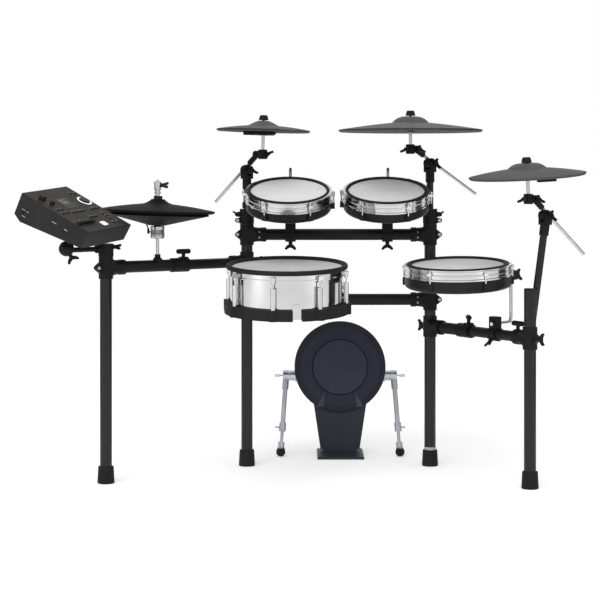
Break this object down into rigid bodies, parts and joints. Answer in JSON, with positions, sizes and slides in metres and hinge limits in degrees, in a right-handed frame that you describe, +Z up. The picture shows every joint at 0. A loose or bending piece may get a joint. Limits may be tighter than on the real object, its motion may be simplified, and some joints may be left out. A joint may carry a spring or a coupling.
{
  "type": "electronic drum kit",
  "caption": "Electronic drum kit on a black pipe rack: chrome snare, mesh-head toms, rubber cymbal pads on booms, hi-hat, free-standing kick pad and sound module.",
  "frame": {"origin": "centre of the bounding box's footprint, on the floor", "axes": "+Z up, +X to the right as the player faces the kit, +Y away from the player"},
  "size_m": [1.7862, 0.9201, 1.1862],
  "materials": {
    "powder_coat": "satin black powder coat",
    "black_casting": "matte black glass-filled nylon",
    "black_rubber": "matte",
    "pad_rubber": "fine-grained charcoal rubber",
    "kick_rubber": "dark navy-black rubber",
    "chrome_steel": "polished chrome",
    "black_shell": "fine-textured black",
    "mesh_head": "light grey woven mesh",
    "aluminium_body": "turned satin",
    "module_shell": "fine-textured charcoal",
    "module_face": "satin dark brown-grey",
    "screen_glass": "glossy lens over a dim display",
    "control_caps": "matte black caps"
  },
  "bodies": {
    "rack": {"center_legs": "powder_coat", "center_feet": "black_rubber", "crossbars": "powder_coat", "rack_clamps": "black_casting", "cymbal_posts": "powder_coat", "snare_shell": "chrome_steel", "snare_rim": "black_rubber", "snare_head": "mesh_head", "snare_lugs": "chrome_steel", "snare_base_hoop": "black_rubber", "snare_arm": "black_casting"},
    "left_arm": {"left_arm_clamp": "black_casting", "left_arm_tube": "powder_coat"},
    "left_stand": {"left_stand_pipes": "powder_coat", "left_stand_clamps": "black_casting", "left_foot": "black_rubber", "hihat_sensor": "aluminium_body", "hihat_bottom": "pad_rubber"},
    "hihat_top": {"hihat_top": "pad_rubber", "hihat_clutch": "chrome_steel"},
    "module": {"module_case": "module_shell", "module_panel": "module_face", "module_screen": "screen_glass"},
    "volume_knob": {"volume_knob": "control_caps"},
    "mix_knob": {"mix_knob": "control_caps"},
    "dial": {"dial": "control_caps"},
    "panel_buttons": {"panel_buttons": "control_caps"},
    "faders": {"faders": "control_caps"},
    "right_arm": {"right_arm_clamp": "black_casting", "right_arm_sleeve": "powder_coat"},
    "right_stand": {"right_stand_pipes": "powder_coat", "right_stand_clamps": "black_casting", "right_foot": "black_rubber", "crash_pole": "powder_coat", "floor_tom_rod": "chrome_steel"},
    "floor_tom": {"floor_tom_shell": "black_shell", "floor_tom_hoop": "chrome_steel", "floor_tom_head": "mesh_head"},
    "tom_left": {"tom_left_shell": "black_shell", "tom_left_hoop": "chrome_steel", "tom_left_head": "mesh_head", "tom_left_mount": "black_casting"},
    "tom_right": {"tom_right_shell": "black_shell", "tom_right_hoop": "chrome_steel", "tom_right_head": "mesh_head", "tom_right_mount": "black_casting"},
    "kick": {"kick_frame": "black_shell", "kick_pad": "kick_rubber", "spur_brackets": "black_casting"},
    "left_spur": {"left_spur": "chrome_steel"},
    "right_spur": {"right_spur": "chrome_steel"},
    "crash_left_boom": {"crash_left_boom": "chrome_steel"},
    "crash_left_tilter": {"crash_left_tilter": "chrome_steel"},
    "crash_left_pad": {"crash_left_pad": "pad_rubber"},
    "ride_boom": {"ride_boom": "chrome_steel"},
    "ride_tilter": {"ride_tilter": "chrome_steel"},
    "ride_pad": {"ride_pad": "pad_rubber"},
    "crash_right_boom": {"crash_right_boom": "chrome_steel"},
    "crash_right_tilter": {"crash_right_tilter": "chrome_steel"},
    "crash_right_pad": {"crash_right_pad": "pad_rubber"}
  },
  "joints": [
    {"name": "left_arm_swing", "type": "hinge", "parent": "rack", "child": "left_arm", "pos_m": [-0.19766, 0.15411, 0.681], "axis": [0, 0, 1], "range_deg": [-25, 12]},
    {"name": "left_arm_extend", "type": "slide", "parent": "left_arm", "child": "left_stand", "axis": [-0.808, -0.5892, 0], "range_m": [-0.02, 0.09]},
    {"name": "hihat_open", "type": "slide", "parent": "left_stand", "child": "hihat_top", "axis": [0, 0, 1], "range_m": [0, 0.015]},
    {"name": "module_tilt", "type": "hinge", "parent": "left_stand", "child": "module", "pos_m": [-0.74436, -0.26692, 0.74578], "axis": [0.8142, -0.3676, -0.4493], "range_deg": [-10, 10]},
    {"name": "volume_turn", "type": "hinge", "parent": "module", "child": "volume_knob", "pos_m": [-0.80717, -0.35291, 0.89929], "axis": [0.3736, -0.2605, 0.8902], "range_deg": [-150, 150]},
    {"name": "mix_turn", "type": "hinge", "parent": "module", "child": "mix_knob", "pos_m": [-0.7763, -0.35701, 0.88514], "axis": [0.3736, -0.2605, 0.8902], "range_deg": [-150, 150]},
    {"name": "dial_turn", "type": "hinge", "parent": "module", "child": "dial", "pos_m": [-0.69562, -0.21194, 0.89373], "axis": [0.3736, -0.2605, 0.8902], "continuous": true},
    {"name": "buttons_press", "type": "slide", "parent": "module", "child": "panel_buttons", "axis": [-0.3736, 0.2605, -0.8902], "range_m": [0, 0.0012], "stiffness_N_per_m": 600, "springref_m": -0.0006},
    {"name": "faders_move", "type": "slide", "parent": "module", "child": "faders", "axis": [0.8142, -0.3676, -0.4493], "range_m": [-0.012, 0.012]},
    {"name": "right_arm_swing", "type": "hinge", "parent": "rack", "child": "right_arm", "pos_m": [0.41574, 0.15411, 0.467], "axis": [0, 0, 1], "range_deg": [-20, 20]},
    {"name": "right_arm_extend", "type": "slide", "parent": "right_arm", "child": "right_stand", "axis": [0.5635, -0.8261, 0], "range_m": [-0.02, 0.08]},
    {"name": "floor_tom_swivel", "type": "hinge", "parent": "right_stand", "child": "floor_tom", "pos_m": [0.66155, -0.04743, 0.6497], "axis": [0, 0, 1], "range_deg": [-8, 8]},
    {"name": "tom_left_tilt", "type": "hinge", "parent": "rack", "child": "tom_left", "pos_m": [-0.05171, 0.15411, 0.774], "axis": [1, 0, 0], "range_deg": [-8, 8]},
    {"name": "tom_right_tilt", "type": "hinge", "parent": "rack", "child": "tom_right", "pos_m": [0.27279, 0.15411, 0.774], "axis": [1, 0, 0], "range_deg": [-8, 8]},
    {"name": "crash_left_boom_turn", "type": "hinge", "parent": "rack", "child": "crash_left_boom", "pos_m": [-0.19766, 0.15411, 0.98944], "axis": [0.682, 0.7314, 0], "range_deg": [-8, 8]},
    {"name": "crash_left_tilter_turn", "type": "hinge", "parent": "crash_left_boom", "child": "crash_left_tilter", "pos_m": [-0.16204, 0.1209, 1.042], "axis": [0.682, 0.7314, 0], "range_deg": [-8, 8]},
    {"name": "crash_left_swing", "type": "hinge", "parent": "crash_left_tilter", "child": "crash_left_pad", "pos_m": [-0.14155, 0.10385, 1.12097], "axis": [1, 0, 0], "range_deg": [-6, 6], "stiffness_Nm_per_rad": 4},
    {"name": "ride_boom_turn", "type": "hinge", "parent": "rack", "child": "ride_boom", "pos_m": [0.41574, 0.15411, 1.01161], "axis": [0.7373, -0.6756, 0], "range_deg": [-8, 8]},
    {"name": "ride_tilter_turn", "type": "hinge", "parent": "ride_boom", "child": "ride_tilter", "pos_m": [0.3621, 0.09557, 1.059], "axis": [0.7373, -0.6756, 0], "range_deg": [-8, 8]},
    {"name": "ride_swing", "type": "hinge", "parent": "ride_tilter", "child": "ride_pad", "pos_m": [0.34521, 0.07714, 1.129], "axis": [1, 0, 0], "range_deg": [-6, 6], "stiffness_Nm_per_rad": 8},
    {"name": "crash_right_boom_turn", "type": "hinge", "parent": "right_stand", "child": "crash_right_boom", "pos_m": [0.74869, -0.21372, 0.84729], "axis": [0.6534, -0.757, 0], "range_deg": [-8, 8]},
    {"name": "crash_right_tilter_turn", "type": "hinge", "parent": "crash_right_boom", "child": "crash_right_tilter", "pos_m": [0.70857, -0.24835, 0.9], "axis": [0.6534, -0.757, 0], "range_deg": [-8, 8]},
    {"name": "crash_right_swing", "type": "hinge", "parent": "crash_right_tilter", "child": "crash_right_pad", "pos_m": [0.68465, -0.26898, 0.98174], "axis": [1, 0, 0], "range_deg": [-6, 6], "stiffness_Nm_per_rad": 5},
    {"name": "kick_place", "type": "slide", "parent": "rack", "child": "kick", "axis": [0, 1, 0], "range_m": [-0.1, 0.1]},
    {"name": "left_spur_fold", "type": "hinge", "parent": "kick", "child": "left_spur", "pos_m": [-0.06826, 0.40911, 0.271], "axis": [1, 0, 0], "range_deg": [-70, 0]},
    {"name": "right_spur_fold", "type": "hinge", "parent": "kick", "child": "right_spur", "pos_m": [0.30774, 0.40911, 0.271], "axis": [1, 0, 0], "range_deg": [-70, 0]}
  ]
}
